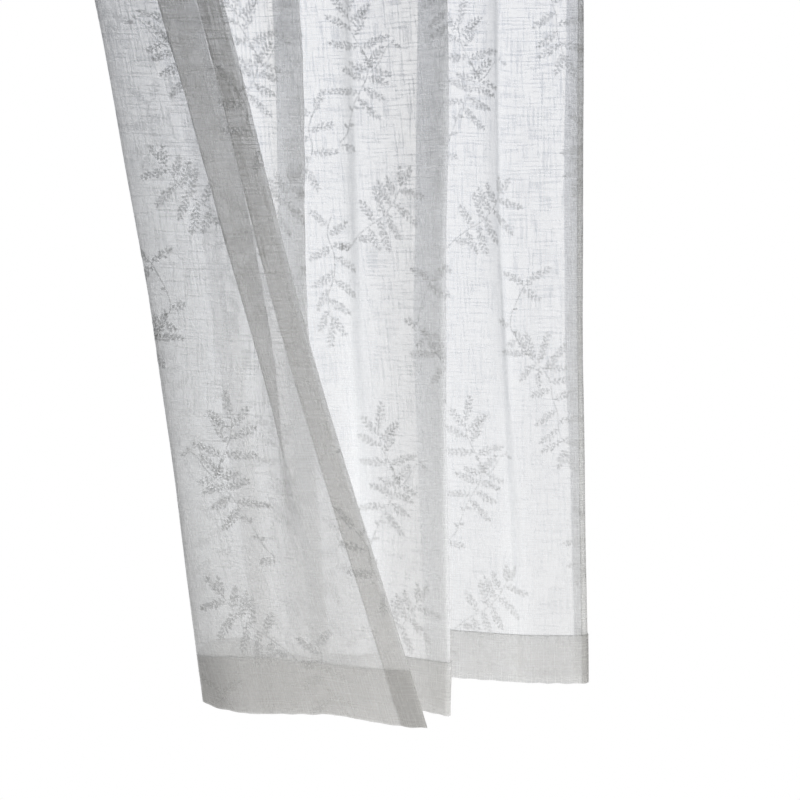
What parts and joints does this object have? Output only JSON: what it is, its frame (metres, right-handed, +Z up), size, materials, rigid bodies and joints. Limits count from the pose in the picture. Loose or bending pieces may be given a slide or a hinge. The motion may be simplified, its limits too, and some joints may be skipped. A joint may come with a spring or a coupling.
{
  "type": "sheer voile curtain",
  "caption": "Full-length sheer voile curtain with turned hems, hanging in soft folds with its free side edge turned over to the front.",
  "frame": {"origin": "middle of the top edge, on the line from which the curtain hangs", "axes": "+Z up along the hang, +X along the top edge to the viewer's right, -Y towards the viewer"},
  "size_m": [1.0069, 0.3441, 2.5088],
  "materials": {
    "voile": "sheer matt weave"
  },
  "bodies": {
    "root": {"curtain_panel": "voile"}
  },
  "joints": []
}
